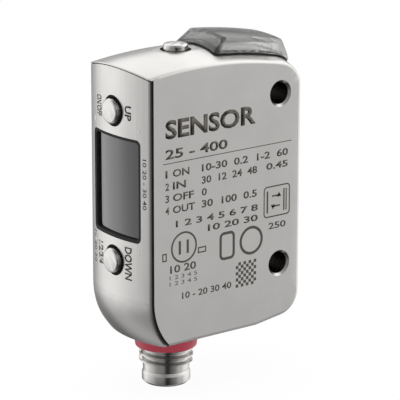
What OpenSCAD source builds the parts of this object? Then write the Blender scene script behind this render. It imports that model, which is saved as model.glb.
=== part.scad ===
// Laser photoelectric sensor in a stainless steel housing.
// X points the way the laser looks, Z is up, and the origin is midway between the two mounting holes.
// The side outline is swept with a crowned section along the top and the rear.

/* [Housing] */
// Thickness between the two side faces
body_t = 14.4; // [14:0.1:18]
// From the mounting hole line back to the rear edge of the side face
rear_x = 23.1; // [22.8:0.1:28]
// From the mounting hole line forward to the sensing face
front_x = 3.95; // [3.5:0.05:5]
// Height of the side face's summit over the middle of the holes
top_z = 18.55; // [18.3:0.05:22]
// Depth of the flat underside below the middle of the holes
bottom_z = 21.55; // [21.2:0.05:26]
// Rise of the top and rear faces in the middle of their width
crown = 1.3; // [1.1:0.05:1.7]
// Radius of the arched top in side view
arch_r = 65.7; // [60:0.5:90]
// From the hole line back to the arch's summit
arch_x = 13.4; // [12:0.1:15]
// Corner radius between the rear and the underside
rear_corner_r = 10.3; // [9:0.1:12]
// Depth at which the rear corner starts below the middle of the holes
rear_corner_z = 14.5; // [14:0.1:15]
// Corner radius between the top and the sensing face
front_top_r = 4.2; // [3.8:0.1:4.8]
// Corner radius between the sensing face and the underside
front_bottom_r = 3.7; // [3:0.1:4.5]
// Angle of the ramp that rises from the underside to that corner
ramp_a = 7.8; // [5:0.1:9]
// From the hole line back to the foot of the ramp
ramp_x = 4; // [3:0.1:5]
// Rounding along the edges of the side faces
edge_r = 0.6; // [0.3:0.05:0.8]
// Wall of the housing
wall = 1; // [0.8:0.05:1.2]

/* [Mounting holes] */
// Distance between the two mounting holes
hole_pitch = 25.4; // [25:0.1:27]
// Radius of a mounting hole
hole_r = 1.6; // [1.3:0.05:1.7]
// Width of the countersink at each mouth
hole_chamfer = 0.35; // [0.1:0.05:0.4]
// Radius of the tube that carries a hole through the housing
bush_r = 2.5; // [2.3:0.05:2.7]

/* [Rear cover] */
// Thickness of the cover's lip at the side seams
lip_t = 0.15; // [0.15:0.05:0.3]
// Thickness of the gasket in the seam
seam_t = 0.35; // [0.25:0.05:0.45]
// Depth of the gasket below the side face
seam_depth = 0.2; // [0.1:0.05:0.3]
// Thickness of the roof's edge over the cover
roof_lip = 0.2; // [0.15:0.05:0.4]
// Gap between the roof's edge and the cover
roof_gap = 0.12; // [0.08:0.02:0.2]
// Plate thickness of the cover
cover_t = 1.1; // [0.9:0.05:1.2]
// Depth of the cover's rib inside the side walls
rib_depth = 1.2; // [0.8:0.1:1.6]
// Thickness of that rib
rib_t = 0.6; // [0.5:0.05:0.7]
// Clearance between the rib and the side walls
rib_gap = 0.1; // [0.05:0.05:0.2]

/* [Display window] */
// Height of the window's middle and of the middle between the two rear buttons
panel_z = 1.45; // [1:0.05:2]
// Height of the window opening
window_h = 15; // [13.5:0.1:15.6]
// Width of the window opening
window_w = 11; // [10:0.1:11.2]
// Corner radius of the window opening
window_r = 0.8; // [0.6:0.05:1]
// Width of the black frame round the glass
frame_w = 0.45; // [0.35:0.05:0.6]
// Depth of the frame's edge below the panel
frame_depth = 0.08; // [0.05:0.01:0.15]
// Depth of the glass below the panel
glass_depth = 0.3; // [0.2:0.05:0.4]
// Thickness of the window glass
glass_t = 1.4; // [1.2:0.05:1.5]

/* [Buttons] */
// Height of the rear buttons above and below the panel's middle
button_pitch = 10.9; // [10.2:0.1:11.3]
// Radius of a button's head
head_r = 1.8; // [1.6:0.05:1.9]
// Rise of a button's head above the surface round it
head_rise = 0.75; // [0.6:0.05:0.9]
// Rise of the set button's head above the top
set_rise = 0.7; // [0.55:0.05:0.75]
// Length of a button's head
head_h = 1.5; // [1.4:0.05:1.6]
// Rounding of the head's edge
head_edge = 0.3; // [0.2:0.05:0.4]
// Radius of the hole round a button's head
well_r = 2.25; // [2.15:0.05:2.3]
// Radius of a button's stem
stem_r = 0.9; // [0.8:0.05:1]
// Length of a button's stem below the head
stem_h = 2.1; // [2:0.05:2.2]
// Travel of a button
button_travel = 0.4; // [0.3:0.05:0.4]
// Running clearance round a head and a stem
run_gap = 0.06; // [0.05:0.01:0.08]
// Depth of the rubber ring below the surface round a button
ring_depth = 0.25; // [0.2:0.05:0.35]
// Outer radius of a retaining clip
clip_r = 1.5; // [1.4:0.05:1.6]
// Thickness of a retaining clip
clip_t = 0.3; // [0.25:0.05:0.35]
// Radius of the guide boss round a stem
boss_r = 2; // [1.9:0.05:2.2]
// Wall round a button's well
well_wall = 0.5; // [0.4:0.05:0.6]
// Floor of a button's well
well_floor = 0.6; // [0.5:0.05:0.7]
// Length of the guide boss
boss_h = 0.5; // [0.4:0.05:0.6]
// Height of a switch over its board
switch_h = 0.95; // [0.9:0.05:1.1]
// Width of a switch
switch_w = 3; // [2.8:0.1:3.4]

/* [Indicator cap] */
// Height of the cap's ridges above the side face's arch
cap_h = 2.95; // [2.7:0.05:3.1]
// Rise of the cap's top between its ridges
cap_crown = 0.4; // [0.1:0.05:0.5]
// From the arch's axis forward to the axis that the cap's top is turned about
cap_shift = 1; // [0.5:0.1:1.5]
// Half width of the cap at its foot
cap_foot = 5; // [4.8:0.05:5.2]
// Half width of the cap at its ridges
cap_ridge = 4.25; // [4.05:0.05:4.4]
// From the hole line back to the cap's rear foot
cap_rear = 10.5; // [10.3:0.05:10.7]
// Slope of the cap's rear facet
cap_slope = 41; // [38:1:44]
// From the hole line forward to the cap's front foot
cap_front = 3.25; // [3:0.05:3.3]
// Lean of the cap's front face from upright
cap_lean = 12; // [9:1:15]
// Wall of the cap
cap_wall = 0.9; // [0.8:0.05:1]
// Rounding between the cap's top and its front face
cap_corner = 1.6; // [1.2:0.05:2]
// Rounding of the edges between the cap's rear facet and its sides
cap_edge_r = 1; // [0.8:0.05:1.2]
// Thickness of the gasket under the cap
cap_gasket_t = 0.25; // [0.2:0.05:0.3]
// Radius of the dish round the set button at its floor
dish_r = 3.2; // [3:0.1:3.4]
// Depth of the dish's floor below the summit of the top
dish_depth = 0.15; // [0.1:0.05:0.2]
// From the hole line back to the set button
set_x = 13.4; // [13.2:0.1:13.6]

/* [Connector] */
// From the hole line back to the connector's axis
conn_x = 15.2; // [15.1:0.05:15.5]
// Outer radius of the connector's thread
thread_r = 3.95; // [3.9:0.01:4]
// Depth of the thread's root below its crest
thread_depth = 0.45; // [0.35:0.05:0.55]
// Pitch of the thread
thread_pitch = 1; // [0.8:0.05:1.2]
// Radius of the snap groove
groove_r = 3.4; // [3.35:0.05:3.45]
// Radius of the end collar
collar_r = 3.55; // [3.5:0.05:3.7]
// Inner radius of the connector's cup
cup_r = 2.75; // [2.6:0.05:2.85]
// Depth of the collar's end below the housing's underside
conn_l = 7.95; // [7.8:0.05:8.4]
// Height of the end collar
collar_h = 2; // [1.9:0.05:2.1]
// Height of the snap groove
groove_h = 1.6; // [1.5:0.05:1.7]
// Height of the red sealing ring
seal_h = 2.25; // [2.1:0.05:2.4]
// Radius of the red sealing ring at the underside
seal_r = 4.8; // [4.7:0.02:4.9]
// Taper of that ring
seal_taper = 0.3; // [0.2:0.05:0.35]
// Radius of a contact pin
pin_r = 0.5; // [0.4:0.05:0.55]
// Radius of the circle of contact pins
pin_circle = 1.35; // [1.3:0.05:1.4]

/* [Optics] */
// Height of the front window
lens_window_h = 18; // [17:0.1:18.4]
// Width of the front window
lens_window_w = 10.6; // [10:0.1:11]
// Radius of the laser's lens
laser_lens_r = 2; // [1.8:0.05:2.1]
// Radius of the receiving lens
receiver_lens_r = 4.4; // [4.2:0.05:4.6]
// Length of the optical block
block_l = 8.6; // [8:0.1:9]

/* [Boards] */
// Thickness of the circuit boards
board_t = 0.8; // [0.6:0.1:1]
// From the hole line back to the main board
main_board_x = 11.2; // [10.9:0.1:11.4]
// Gap between a board's edge and the walls
board_gap = 0.3; // [0.2:0.05:0.4]

/* [Hidden] */
$fn = 64;

h = body_t / 2;
far = 60;
// Small clearance kept between pieces that only meet at the end of a stroke
stop_gap = 0.05;
// Clearance of a piece slipped into its seat
slip = 0.02;

// Crowned section
crown_r = (h * h + crown * crown) / (2 * crown);
crown_steps = 6;
crown_a = asin((h - edge_r) / (crown_r - edge_r)) / (crown_steps + 0.5);
edge_steps = 3;
blend = 0.01;

// Side outline: centres of the arch and of the corners
arch_z = top_z - arch_r;
front_top_x = front_x - front_top_r;
front_top_z = arch_z + sqrt(pow(arch_r - front_top_r, 2) - pow(front_top_x + arch_x, 2));
front_top_a = atan2(front_top_z - arch_z, front_top_x + arch_x);
front_bottom_x = front_x - front_bottom_r;
front_bottom_z = front_bottom_r * cos(ramp_a) - bottom_z
    + (front_bottom_x + front_bottom_r * sin(ramp_a) + ramp_x) * tan(ramp_a);
rear_corner_x = rear_corner_r - rear_x;

// Seam between the housing and the rear cover
seam_in = lip_t + seam_t;
cover_top = roof_lip + roof_gap;
inner_w = h - wall;
rib_w = inner_w - rib_gap;
rib_z = wall + rib_gap - bottom_z;

// Button mechanism, measured from the inner end of a head
well_z = -button_travel - stop_gap;
guide_z = well_z - well_floor;
boss_z = guide_z - boss_h;
clip_z = boss_z - stop_gap;
groove_d = 0.2;
plunger_h = 0.3;
plunger_r = 0.8;
switch_z = -stem_h - button_travel - stop_gap - plunger_h;
board_z = switch_z - switch_h;
rear_head_x = -rear_x - crown - head_rise + head_h;
set_head_z = top_z + crown + set_rise - head_h;
up_z = panel_z + button_pitch;
down_z = panel_z - button_pitch;

// Window and display
glass_w = window_w - 2 * frame_w;
glass_h = window_h - 2 * frame_w;
glass_r = window_r - frame_w / 2;
glass_back_x = rear_at(glass_w / 2) + glass_depth + glass_t;
collar_w = 0.5;
display_board_x = rear_head_x - board_z;
display_board_top = up_z + 3.1;
display_board_end = down_z - 4.1;
display_gap = 0.35;
display_w = 8.6;
display_h = 13;
display_frame = 0.4;
post_r = 0.9;
post_y = 4.4;
post_pitch = window_h / 2 + collar_w + post_r - 0.1;

// Indicator
cap_u = [cos(cap_slope), sin(cap_slope)];
cap_v = [-sin(cap_lean), cos(cap_lean)];
cap_n = [cos(cap_lean), sin(cap_lean)];
cap_front_z = front_top_z + front_top_r - 0.7;
cap_ridge_r = arch_r + cap_h;
cap_side_r = arch_r + crown_at(cap_foot) + cap_gasket_t;
dish_rim = dish_r + 1.15;
dish_rise = 0.6;
cap_axis = [cap_shift - arch_x, arch_z];
cap_side_lean = atan((cap_foot - cap_ridge) / (cap_ridge_r - cap_side_r));
cap_edge_tilt = atan(sin(cap_slope) * tan(cap_side_lean));
cap_edge_a = acos(cos(cap_slope) * sin(cap_side_lean));
cap_edge_in = cap_edge_r * tan(cap_edge_a / 2);
cap_corner_x = cap_gasket_t / tan(cap_slope) - cap_rear;
cap_corner_z = top_at(-cap_rear, cap_foot) + cap_gasket_t;
roof_slot_w = 5.2;
roof_slot_front = 0.5;
roof_slot_rear = 8;
indicator_z = set_head_z + board_z;
indicator_rear = -set_x - 4.1;
indicator_front = -bush_r - 0.5;
guide_foot = 0.8;
guide_rise = 0.3;
led_h = 0.9;
led_r = 0.65;
led_pitch = 1.7;
led_x = 0.3 - roof_slot_rear;

// Optics
flange_t = 0.8;
flange_w = 2 * inner_w - 0.6;
flange_h = lens_window_h + 1.4;
window_recess = 0.1;
window_seal_w = 0.3;
glass_x = front_x - wall;
block_w = 10.4;
block_h = lens_window_h + 0.8;
block_x = glass_x - block_l;
block_foot = 1.2;
laser_z = lens_window_h / 2 - laser_lens_r - 1;
receiver_z = lens_window_h / 2 - receiver_lens_r - 1.6;
lens_seat_x = glass_x - 2;
sensor_gap = 1.2;
sensor_x = block_x - sensor_gap - board_t;
sensor_h = 1.1;
sensor_w = 3.6;

// Connector
neck_r = 3.4;
nut_r = 4.3;
nut_h = 1.3;
conn_top_z = -bottom_z + wall + nut_h + 0.5;
seal_z = -bottom_z - seal_h;
collar_z = -bottom_z - conn_l + collar_h;
groove_z = collar_z + groove_h;
insert_z = seal_z + 0.4;
insert_step_z = -bottom_z + 0.7;
insert_r = 2.3;
pin_top_z = conn_top_z + 0.9;
pin_end_z = insert_z - 4.2;

// Boards
main_top_z = indicator_z - board_t - 0.95;
main_bottom_z = conn_top_z + 0.6;
shelf_t = 0.7;
shelf_w = 0.8;
rail_h = hole_pitch / 2 - bush_r - 0.2;
processor_w = 6.4;
processor_h = 1.1;
processor_z = 1;
display_link_z = down_z + 1.45;
link_h = 1.4;
film_t = 0.3;
sensor_link_z = -6.5;
sensor_link_h = 1.8;

// Height of the crowned top surface over a point, and depth of the crowned rear surface
function crown_at(y) = sqrt(crown_r * crown_r - y * y) - (crown_r - crown);
function top_at(x, y) = arch_z + sqrt(pow(arch_r + crown_at(y), 2) - pow(x + arch_x, 2));
function rear_at(y) = -rear_x - crown_at(y);

// Half of the crowned outline with its rounded edge, as [outward, across] points
function crowned_half() =
    let (q = crown_r - edge_r,
         a = crown_a * (crown_steps + 0.5),
         x = q * cos(a) - (crown_r - crown),
         y = h - edge_r)
    concat(
        [for (k = [0:edge_steps]) let (t = k / edge_steps * (90 - a)) [x + edge_r * sin(t), y + edge_r * cos(t)]],
        [for (k = [crown_steps - 1:-1:0]) let (t = crown_a * (k + 0.5))
            [crown_r * cos(t) - (crown_r - crown), crown_r * sin(t)]]);
// Half of the flat outline with its rounded edge
function flat_half() =
    [for (k = [0:edge_steps]) let (t = k / edge_steps * 90)
        [edge_r * (sin(t) - 1), h - edge_r * (1 - cos(t))]];
// The crowned half outline without the rounded edge, set in by i and carried on past the side faces
function wide_crown(i) =
    [for (k = [crown_steps + 3:-1:0]) let (t = crown_a * (k + 0.5))
        [(crown_r - i) * cos(t) - (crown_r - crown), (crown_r - i) * sin(t)]];
function wide_flat(i) = [[-i, 2 * h]];
// A whole section at distance r from its axis: one half and its mirror image, on a stem of half width w
function section(half, r, w) =
    let (n = len(half), foot = r + half[0][0])
    concat([[0, w]],
        half[0][1] < w ? [[foot, w]] : [],
        [for (p = half) [r + p[0], p[1]]],
        [for (k = [n - 1:-1:0]) [r + half[k][0], -half[k][1]]],
        half[0][1] < w ? [[foot, -w]] : [],
        [[0, -w]]);
// Plan view with a crowned rear and a flat front
function plan(c, f) =
    let (n = len(c), m = len(f))
    concat(
        [for (k = [0:n - 1]) [-rear_x - c[k][0], c[k][1]]],
        [for (k = [n - 1:-1:0]) [-rear_x - c[k][0], -c[k][1]]],
        [for (k = [0:m - 1]) [front_x + f[k][0], -f[k][1]]],
        [for (k = [m - 1:-1:0]) [front_x + f[k][0], f[k][1]]]);

// Turns a section about an axis along Y through (x, z)
module turned(x, z) {
    translate([x, 0, z]) rotate([90, 0, 0]) rotate_extrude($fn = 180) children();
}
// A block between two corners
module span(a, b) {
    translate(a) cube(b - a);
}
// A cylinder along X from x0 to x1
module rod_x(x0, x1, r, z = 0, y = 0) {
    translate([x0, y, z]) rotate([0, 90, 0]) cylinder(h = x1 - x0, r = r);
}
// A cylinder along Y through (x, z), reaching far past both side faces
module rod_y(x, z, r) {
    translate([x, far, z]) rotate([90, 0, 0]) cylinder(h = 2 * far, r = r, $fn = 180);
}
// A rounded plate in the YZ plane from x0 to x1
module plate_x(x0, x1, w, high, r, z = 0) {
    translate([x0, 0, z]) rotate([90, 0, 90]) linear_extrude(x1 - x0) rounded(w, high, r);
}
module rounded(w, high, r) {
    square([w - 2 * r, high], center = true);
    square([w, high - 2 * r], center = true);
    for (sx = [-1, 1], sy = [-1, 1]) translate([sx * (w / 2 - r), sy * (high / 2 - r)]) circle(r);
}
// A side view outline carried across the whole thickness
module across(points) {
    translate([0, far, 0]) rotate([90, 0, 0]) linear_extrude(2 * far) polygon(points);
}
// Places a piece of the button mechanism at one of the rear buttons or at the set button
module at_rear(z) {
    translate([rear_head_x, 0, z]) rotate([0, -90, 0]) children();
}
module at_set() {
    translate([-set_x, 0, set_head_z]) children();
}

// What a rounded corner leaves of a square one: the block that is passed in, less the turned corner
module corner_waste(half, x, z, r) {
    difference() {
        children();
        turned(x, z) polygon(section(half, r - blend, 2 * h));
    }
}
// The sensor's outside from a crowned and a flat half outline, with the underside at bottom
module form(c, f, bottom) {
    difference() {
        intersection() {
            turned(-arch_x, arch_z) polygon(section(c, arch_r, 2 * h));
            translate([0, 0, bottom]) linear_extrude(far) polygon(plan(c, f));
        }
        corner_waste(c, rear_corner_x, -rear_corner_z, rear_corner_r)
            span([-far, -3 * h, -far], [rear_corner_x, 3 * h, -rear_corner_z]);
        corner_waste(c, front_top_x, front_top_z, front_top_r) intersection() {
            translate([front_top_x, 0, front_top_z]) rotate([0, 90 - front_top_a, 0])
                span([0, -3 * h, -far], [far, 3 * h, far]);
            span([-far, -3 * h, front_top_z], [far, 3 * h, far]);
        }
        corner_waste(f, front_bottom_x, front_bottom_z, front_bottom_r) intersection() {
            translate([front_bottom_x, 0, front_bottom_z]) rotate([0, -ramp_a, 0])
                span([0, -3 * h, -far], [far, 3 * h, far]);
            span([-far, -3 * h, -far], [far, 3 * h, front_bottom_z]);
        }
        ramp() span([-far, -3 * h, -far], [far, 3 * h, bottom + bottom_z]);
    }
}
// Places a cutter on the ramp, with X running up along it from its foot
module ramp() {
    translate([-ramp_x, 0, -bottom_z]) rotate([0, -ramp_a, 0]) children();
}
// What the rounded edges take off both sides of the underside, over a length
module side_edges(length) {
    for (s = [-1, 1]) rotate([90, 0, 90]) linear_extrude(length)
        polygon(concat([for (p = flat_half()) [s * p[1], -p[0]]],
            [[s * (h - edge_r), -1], [s * (h + 1), -1], [s * (h + 1), edge_r]]));
}
module outer_form() {
    difference() {
        form(crowned_half(), flat_half(), -bottom_z);
        translate([-far, 0, -bottom_z]) side_edges(far - ramp_x);
        ramp() side_edges((front_bottom_x + front_bottom_r * sin(ramp_a) + ramp_x) / cos(ramp_a));
    }
}
// The same shape set in by i, with the sides w from the middle
module core(i, w) {
    intersection() {
        form(wide_crown(i), wide_flat(i), i - bottom_z);
        span([-far, -w, -far], [far, w, far]);
    }
}
// Everything below the crowned top set in by i
module under_top(i) {
    turned(-arch_x, arch_z) polygon(section(wide_crown(i), arch_r, 2 * h));
}
// Everything behind the seam, at a distance i in from the rear edge and t below the crowned top
module behind_seam(i, t) {
    intersection() {
        difference() {
            span([-far, -far, -far], [rear_corner_x, far, far]);
            span([i - rear_x, -2 * far, -rear_corner_z], [far, 2 * far, 2 * far]);
            rod_y(rear_corner_x, -rear_corner_z, rear_corner_r - i);
        }
        under_top(t);
    }
}

// Cuts and adds the well and the guide of a button; top is the surface round its head
module guide_solid(top) {
    translate([0, 0, guide_z]) cylinder(h = top - guide_z, r = well_r + well_wall);
    translate([0, 0, boss_z]) cylinder(h = boss_h + stop_gap, r = boss_r);
}
module guide_cut(top) {
    translate([0, 0, well_z]) cylinder(h = top + 2 - well_z, r = well_r);
    translate([0, 0, boss_z - 1]) cylinder(h = 3, r = stem_r + run_gap);
}
module button() {
    rotate_extrude() polygon(concat(
        [[0, head_h]],
        [for (k = [0:3]) [head_r - head_edge + head_edge * sin(30 * k), head_h - head_edge + head_edge * cos(30 * k)]],
        [[head_r, 0], [stem_r, 0], [stem_r, clip_z], [stem_r - groove_d, clip_z],
            [stem_r - groove_d, clip_z - clip_t], [stem_r, clip_z - clip_t], [stem_r, -stem_h], [0, -stem_h]]));
}
module clip() {
    translate([0, 0, clip_z - clip_t]) difference() {
        cylinder(h = clip_t, r = clip_r);
        translate([0, 0, -1]) cylinder(h = 2, r = stem_r - groove_d);
        span([0, -0.35, -1], [2 * clip_r, 0.35, 2]);
    }
}
module button_seal(top) {
    translate([0, 0, well_z]) difference() {
        cylinder(h = top - ring_depth - well_z, r = well_r);
        translate([0, 0, -1]) cylinder(h = 4, r = head_r + run_gap);
    }
}
module switch() {
    translate([-switch_w / 2, -switch_w / 2, board_z]) cube([switch_w, switch_w, switch_h]);
    translate([0, 0, switch_z - 0.2]) cylinder(h = plunger_h + 0.2, r = plunger_r);
}

module housing() {
    color("silver") difference() {
        union() {
            difference() {
                outer_form();
                intersection() {
                    core(wall, inner_w);
                    span([seam_in - rear_x, -far, -far], [far, far, far]);
                }
                behind_seam(seam_in, roof_lip);
                intersection() {
                    behind_seam(seam_in + rib_depth, cover_top);
                    span([-far, -inner_w, wall - bottom_z], [far, inner_w, far]);
                }
            }
            for (z = [-1, 1]) translate([0, h - 0.3, z * hole_pitch / 2]) rotate([90, 0, 0])
                cylinder(h = body_t - 0.6, r = bush_r);
            at_set() guide_solid(head_h - set_rise - 0.4);
            board_rails();
        }
        at_set() guide_cut(head_h);
        at_set() translate([0, 0, head_h - set_rise - dish_depth]) cylinder(h = 3, r = dish_r);
        for (z = [-1, 1]) translate([0, 0, z * hole_pitch / 2]) mounting_hole();
        plate_x(glass_x - 1, front_x + 1, lens_window_w, lens_window_h, 1);
        span([-roof_slot_rear, -roof_slot_w / 2, indicator_z + 2], [-roof_slot_front, roof_slot_w / 2, far]);
        translate([-conn_x, 0, -bottom_z - 1]) cylinder(h = wall + 2, r = neck_r + slip);
    }
}
module mounting_hole() {
    rod_y(0, 0, hole_r);
    for (s = [0, 180]) rotate([0, 0, s]) translate([0, -h - 1, 0]) rotate([-90, 0, 0])
        cylinder(h = 1 + hole_chamfer, r1 = hole_r + hole_chamfer + 1, r2 = hole_r);
}
// Rails for the main board and shelves for the indicator board, on both side walls
module board_rails() {
    for (s = [-1, 1]) {
        y0 = s > 0 ? inner_w - shelf_w : -inner_w - 0.3;
        for (x = [-main_board_x - shelf_t - stop_gap, -main_board_x + board_t + stop_gap])
            span([x, y0, -rail_h], [x + shelf_t, y0 + shelf_w + 0.3, rail_h]);
        span([indicator_rear + 0.5, y0, indicator_z - board_t - shelf_t],
            [indicator_front - 0.5, y0 + shelf_w + 0.3, indicator_z - board_t]);
    }
}
module rear_cover() {
    color("silver") difference() {
        union() {
            difference() {
                intersection() {
                    outer_form();
                    behind_seam(lip_t, cover_top);
                }
                intersection() {
                    core(cover_t, rib_w - rib_t);
                    under_top(cover_top + cover_t);
                }
            }
            difference() {
                intersection() {
                    core(cover_t / 2, rib_w);
                    behind_seam(seam_in + rib_depth, cover_top + cover_t / 2);
                    span([-far, -rib_w, rib_z], [far, rib_w, far]);
                }
                span([-far, rib_t - rib_w, -far], [far, rib_w - rib_t, far]);
            }
            intersection() {
                core(cover_t / 2, rib_w);
                plate_x(-far, glass_back_x, window_w + 2 * collar_w, window_h + 2 * collar_w, window_r + collar_w, panel_z);
            }
            for (y = [-1, 1], z = [-1, 1])
                rod_x(-rear_x - crown / 2, display_board_x, post_r, panel_z + z * post_pitch, y * post_y);
            at_rear(up_z) guide_solid(head_h - head_rise - 0.4);
            at_rear(down_z) guide_solid(head_h - head_rise - 0.4);
        }
        plate_x(-far, 0, window_w, window_h, window_r, panel_z);
        at_rear(up_z) guide_cut(head_h);
        at_rear(down_z) guide_cut(head_h);
    }
}
module cover_gasket() {
    color("black") difference() {
        intersection() {
            core(seam_depth, h - seam_depth);
            difference() {
                behind_seam(seam_in, roof_lip);
                behind_seam(lip_t, cover_top);
            }
        }
        intersection() {
            span([-far, -rib_w, wall - bottom_z], [far, rib_w, far]);
            under_top(cover_top);
        }
    }
}
module window_frame() {
    color("black") difference() {
        intersection() {
            core(frame_depth, h - 1);
            plate_x(-far, glass_back_x, window_w, window_h, window_r, panel_z);
        }
        plate_x(-far, 0, glass_w, glass_h, glass_r, panel_z);
    }
}
module display_window() {
    color("dimgray") intersection() {
        core(glass_depth, h - 1);
        plate_x(-far, glass_back_x, glass_w, glass_h, glass_r, panel_z);
    }
}
module display_module() {
    color("darkslategray") {
        plate_x(display_board_x - 1.1, display_board_x, display_w, display_h, 0.3, panel_z);
        plate_x(glass_back_x + display_gap, display_board_x - 1,
            display_w - 2 * display_frame, display_h - 2 * display_frame, 0.2, panel_z);
    }
}
module display_board() {
    color("green") difference() {
        span([display_board_x, -inner_w + board_gap, display_board_end],
            [display_board_x + board_t, inner_w - board_gap, display_board_top]);
        for (y = [-1, 1], z = [-1, 1])
            rod_x(display_board_x - 1, display_board_x + 2, 0.4, panel_z + z * post_pitch, y * post_y);
    }
}
module up_button() { color("gray") at_rear(up_z) button(); }
module down_button() { color("gray") at_rear(down_z) button(); }
module set_button() { color("gray") at_set() button(); }
module up_button_clip() { color("gainsboro") at_rear(up_z) clip(); }
module down_button_clip() { color("gainsboro") at_rear(down_z) clip(); }
module set_button_clip() { color("gainsboro") at_set() clip(); }
module up_button_seal() { color("black") at_rear(up_z) button_seal(head_h - head_rise); }
module down_button_seal() { color("black") at_rear(down_z) button_seal(head_h - head_rise); }
module set_button_seal() { color("black") at_set() button_seal(head_h - set_rise - dish_depth); }
module up_switch() { color("dimgray") at_rear(up_z) switch(); }
module down_switch() { color("dimgray") at_rear(down_z) switch(); }
module set_switch() { color("dimgray") at_set() switch(); }

// Side view of the cap, set in by w: the sloped rear facet, the leaning front face and the corner over it
function cap_outline(w) =
    let (a = [-cap_rear, top_at(-cap_rear, cap_foot)] + w * [sin(cap_slope), -cos(cap_slope)],
         b = [cap_front, cap_front_z] - w * cap_n,
         r = max(cap_corner - w, 0.1),
         q = b - r * cap_n - cap_axis,
         reach = cap_ridge_r + cap_crown - w - r + 0.03,
         qv = q * cap_v,
         t = -qv + sqrt(qv * qv - q * q + reach * reach),
         c = b - r * cap_n + t * cap_v,
         a1 = atan2(c[1] - arch_z, c[0] - cap_axis[0]) + 6)
    concat([a - 4 * cap_u, a + 10 * cap_u],
        [for (k = [4:-1:0]) let (e = cap_lean + (a1 - cap_lean) * k / 4) c + r * [cos(e), sin(e)]],
        [b - 1.1 * cap_v, [a[0] - 4, b[1] - 1.1]]);
// The cap's section, set in by w
function cap_half(w) =
    let (d = cap_ridge - w, s = (cap_foot - cap_ridge) / (cap_ridge_r - cap_side_r))
    concat([[cap_side_r - arch_r, cap_foot - w]],
        [for (k = [4:-1:1]) let (u = (k - 0.5) / 3.5) [cap_h - w + cap_crown * (1 - u * u), u * (d + w * s)]]);
module cap_solid(w) {
    difference() {
        intersection() {
            turned(cap_axis[0], arch_z) polygon(section(cap_half(w), arch_r, cap_foot - w));
            across(cap_outline(w));
        }
        for (s = [-1, 1]) cap_edge_waste(s, cap_edge_r - w);
    }
}
// What the rounding of radius r takes off the cap along the edge between the rear facet and side s
module cap_edge_waste(s, r) {
    translate([cap_corner_x, s * cap_foot, cap_corner_z])
        rotate([0, 90 - cap_slope, 0]) rotate([s * cap_edge_tilt, 0, 0]) translate([cap_edge_r, -s * cap_edge_in, 0])
            difference() {
                span([-far, s > 0 ? 0 : -far, -far], [-r * cos(cap_edge_a), s > 0 ? far : 0, far]);
                translate([0, 0, -2 * far]) cylinder(h = 4 * far, r = r);
            }
}
module dish() {
    at_set() translate([0, 0, head_h - set_rise - dish_depth]) {
        cylinder(h = dish_rise, r1 = dish_r, r2 = dish_rim);
        translate([0, 0, dish_rise]) cylinder(h = 3, r = dish_rim);
    }
}
module indicator_cap() {
    color("dimgray") difference() {
        cap_solid(0);
        cap_solid(cap_wall);
        core(-cap_gasket_t, h);
        dish();
    }
}
module indicator_gasket() {
    color("black") difference() {
        intersection() {
            cap_solid(0.12);
            core(-cap_gasket_t, h);
        }
        core(0, h);
        cap_solid(cap_wall);
        dish();
    }
}
module light_guide() {
    color("whitesmoke") {
        intersection() {
            core(-guide_rise, h);
            span([-roof_slot_rear + 0.1, -roof_slot_w / 2 + 0.1, indicator_z + led_h + 0.6],
                [-roof_slot_front - 0.1, roof_slot_w / 2 - 0.1, far]);
        }
        span([-roof_slot_rear - guide_foot, -roof_slot_w / 2 - guide_foot, indicator_z + led_h + 0.6],
            [-roof_slot_front - guide_foot - 1.5, roof_slot_w / 2 + guide_foot, indicator_z + led_h + 1.2]);
    }
}
module indicator_leds() {
    color("limegreen") {
        span([led_x - 1, -1.4, indicator_z], [led_x + 2 * led_pitch + 1, 1.4, indicator_z + led_h / 2]);
        for (k = [0:2]) translate([led_x + k * led_pitch, 0, indicator_z + led_h / 3])
            cylinder(h = led_h * 2 / 3, r = led_r);
    }
}
module indicator_board() {
    color("green")
        span([indicator_rear, -inner_w + board_gap, indicator_z - board_t],
            [indicator_front, inner_w - board_gap, indicator_z]);
}

module front_window() {
    color("lightgray") plate_x(glass_x, front_x - window_recess, lens_window_w - 2 * window_seal_w,
        lens_window_h - 2 * window_seal_w, 1 - window_seal_w / 2);
}
module front_window_gasket() {
    color("black") difference() {
        plate_x(glass_x, front_x - 2 * window_recess, lens_window_w, lens_window_h, 1);
        plate_x(glass_x - 1, front_x + 1, lens_window_w - 2 * window_seal_w,
            lens_window_h - 2 * window_seal_w, 1 - window_seal_w / 2);
    }
}
module optical_block() {
    color("black") difference() {
        union() {
            span([block_x, -block_w / 2, -block_h / 2], [glass_x, block_w / 2, block_h / 2]);
            span([glass_x - flange_t, -flange_w / 2, -flange_h / 2], [glass_x, flange_w / 2, flange_h / 2]);
            for (z = [-block_h / 2, block_h / 2 - block_foot])
                span([block_x - sensor_gap, -4, z], [block_x + 1, 4, z + block_foot]);
        }
        rod_x(block_x - 3, glass_x + 1, laser_lens_r + slip, laser_z);
        rod_x(lens_seat_x, glass_x + 1, receiver_lens_r + slip, -receiver_z);
        translate([block_x - 1, 0, -receiver_z]) rotate([0, 90, 0])
            cylinder(h = lens_seat_x - block_x + 1.5, r1 = 1.8, r2 = receiver_lens_r - 0.3);
    }
}
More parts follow.
